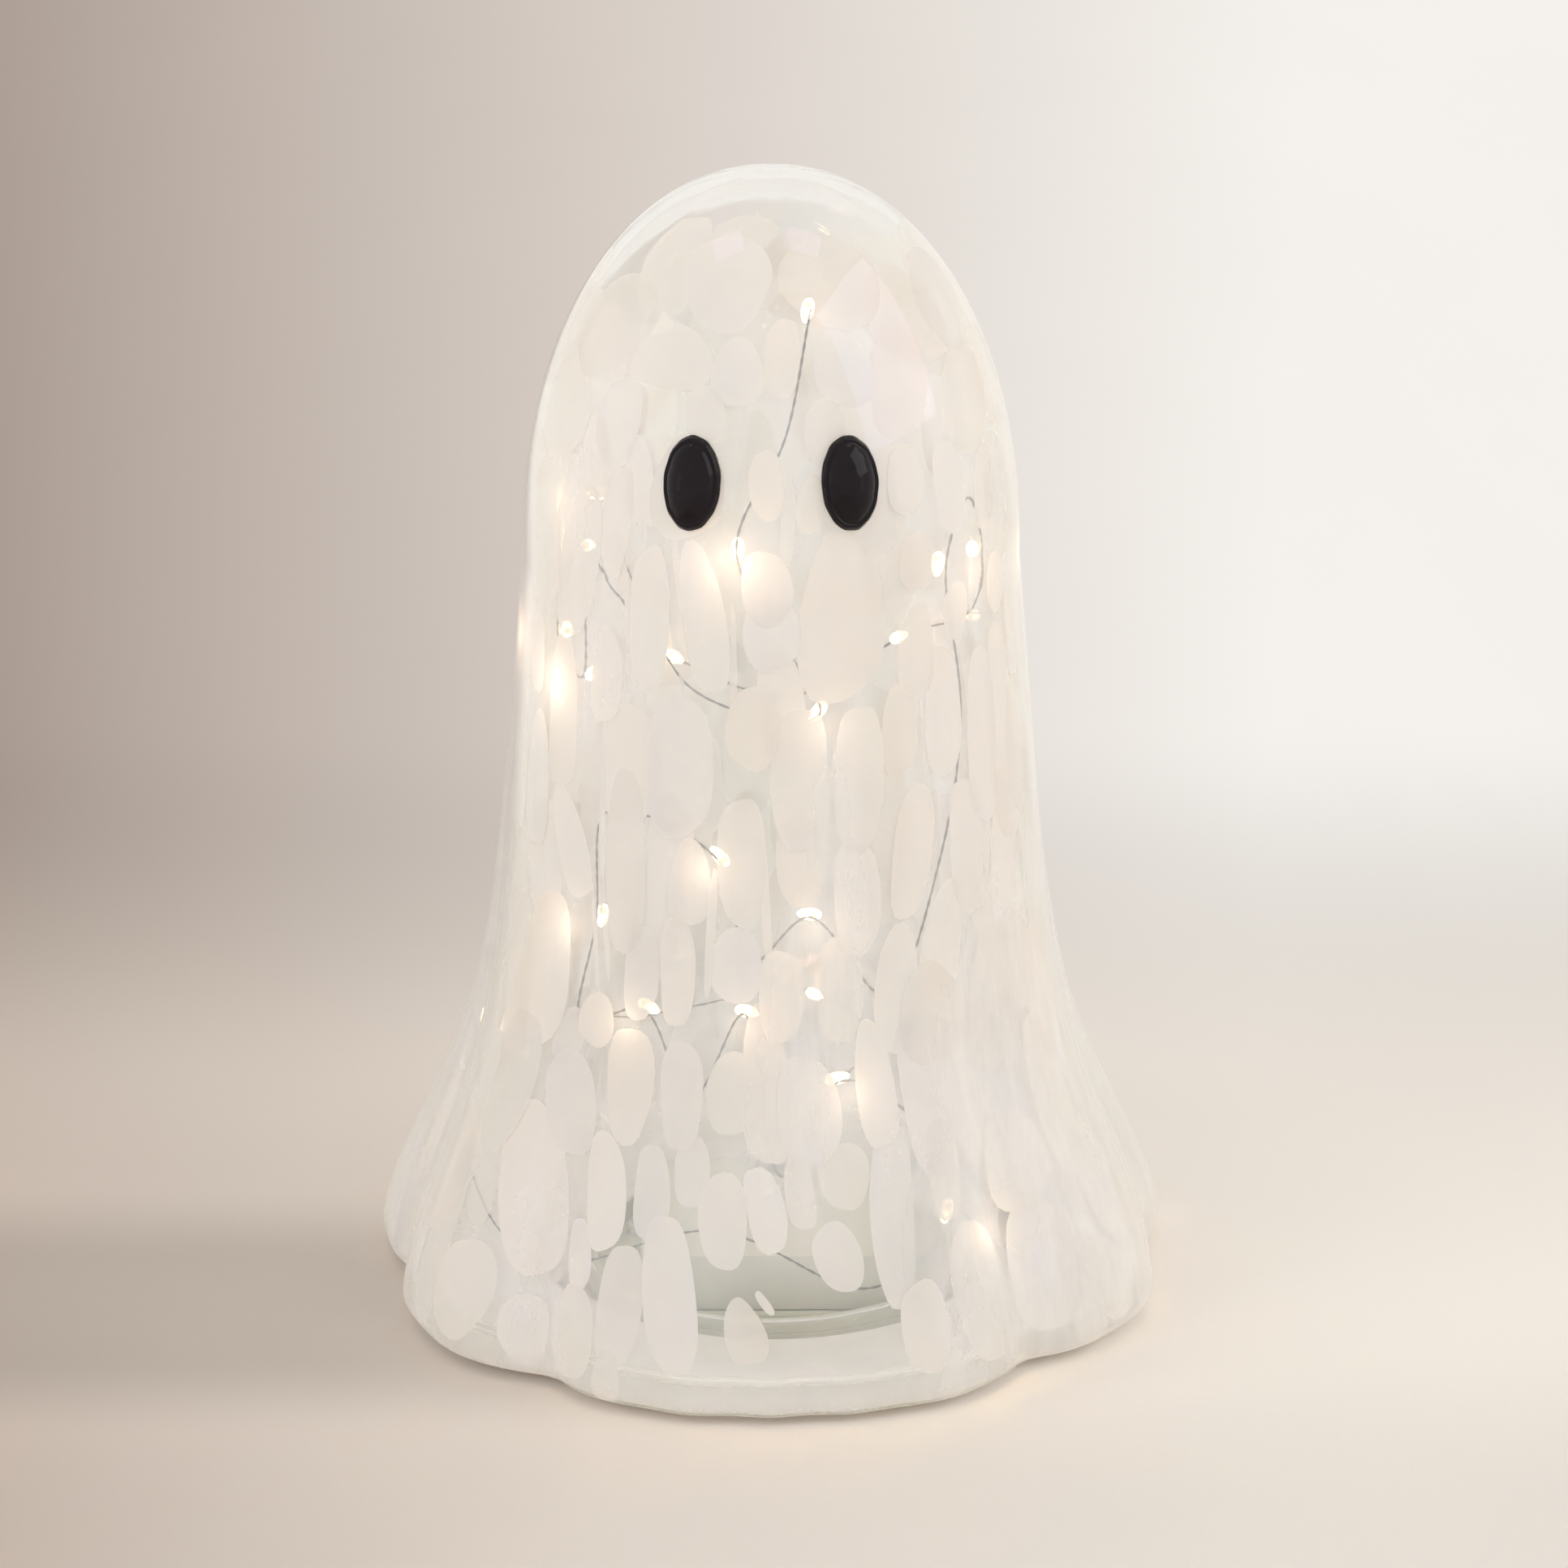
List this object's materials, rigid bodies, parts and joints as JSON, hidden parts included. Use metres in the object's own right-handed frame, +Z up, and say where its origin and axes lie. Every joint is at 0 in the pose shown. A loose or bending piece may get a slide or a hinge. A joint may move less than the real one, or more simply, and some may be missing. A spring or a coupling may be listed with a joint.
{
  "type": "glass ghost figurine",
  "caption": "Hollow clear glass ghost with white glass chips in its wall, dark oval eyes, a folded hem, and battery lights on a wire inside.",
  "frame": {"origin": "on the table at the middle of the base, between the four feet", "axes": "+Z up along the body, -Y towards the face, +X to the right of someone who looks at the face"},
  "size_m": [0.2157, 0.2048, 0.305],
  "materials": {
    "glass_clear": "clear blown glass, high gloss, with oval chips of milk-white glass fused in its wall",
    "eye_glass": "opaque black glass, polished",
    "clear_rubber": "clear soft rubber",
    "pale_green_plastic": "moulded, slightly milky pale grey-green",
    "sealant": "translucent sealant bead",
    "steel": "zinc-plated steel",
    "nickel": "nickel-plated spring steel",
    "cell_sleeve": "plain printed-free foil sleeve over steel",
    "board": "green glass-fibre circuit board",
    "black_plastic": "moulded black",
    "white_plastic": "moulded white",
    "lead_red": "soft red lead sleeve",
    "wire_silver": "silvered copper pair, lacquered",
    "light_drop": "clear resin drop over a warm white light chip"
  },
  "bodies": {
    "figurine": {"glass_body": "glass_clear", "eye_left": "eye_glass", "eye_right": "eye_glass", "foot_front": "clear_rubber", "foot_right": "clear_rubber", "foot_back": "clear_rubber", "foot_left": "clear_rubber", "base_housing": "pale_green_plastic", "battery_case": "pale_green_plastic", "base_seal": "sealant", "hinge_pin": "steel", "case_screw_1": "steel", "case_screw_2": "steel", "case_screw_3": "steel", "case_screw_4": "steel", "battery_1": "cell_sleeve", "battery_2": "cell_sleeve", "battery_3": "cell_sleeve", "contact_spring_1": "nickel", "contact_spring_2": "nickel", "contact_spring_3": "nickel", "contact_negative": "nickel", "contact_bridge_left": "nickel", "contact_bridge_right": "nickel", "contact_positive": "nickel", "circuit_board": "board", "timer_chip": "black_plastic", "timer_crystal": "nickel", "board_capacitor": "black_plastic", "switch_body": "black_plastic", "wire_grommet": "clear_rubber", "lead_negative": "black_plastic", "lead_positive": "lead_red", "light_string": "wire_silver", "light_01": "light_drop", "light_02": "light_drop", "light_03": "light_drop", "light_04": "light_drop", "light_05": "light_drop", "light_06": "light_drop", "light_07": "light_drop", "light_08": "light_drop", "light_09": "light_drop", "light_10": "light_drop", "light_11": "light_drop", "light_12": "light_drop", "light_13": "light_drop", "light_14": "light_drop", "light_15": "light_drop", "light_16": "light_drop", "light_17": "light_drop", "light_18": "light_drop", "light_19": "light_drop", "light_20": "light_drop"},
    "battery_door": {"battery_door": "pale_green_plastic"},
    "door_screw": {"door_screw": "steel"},
    "switch_knob": {"switch_knob": "white_plastic"}
  },
  "joints": [
    {"name": "battery_door_hinge", "type": "hinge", "parent": "figurine", "child": "battery_door", "pos_m": [0, -0.0365, 0.0019], "axis": [-1, 0, 0], "range_deg": [0, 105]},
    {"name": "door_screw_turn", "type": "hinge", "parent": "battery_door", "child": "door_screw", "pos_m": [0, 0.0188, 0.002], "axis": [0, 0, -1], "range_deg": [0, 1800]},
    {"name": "switch_slide", "type": "slide", "parent": "figurine", "child": "switch_knob", "axis": [1, 0, 0], "range_m": [-0.002, 0.002]}
  ]
}
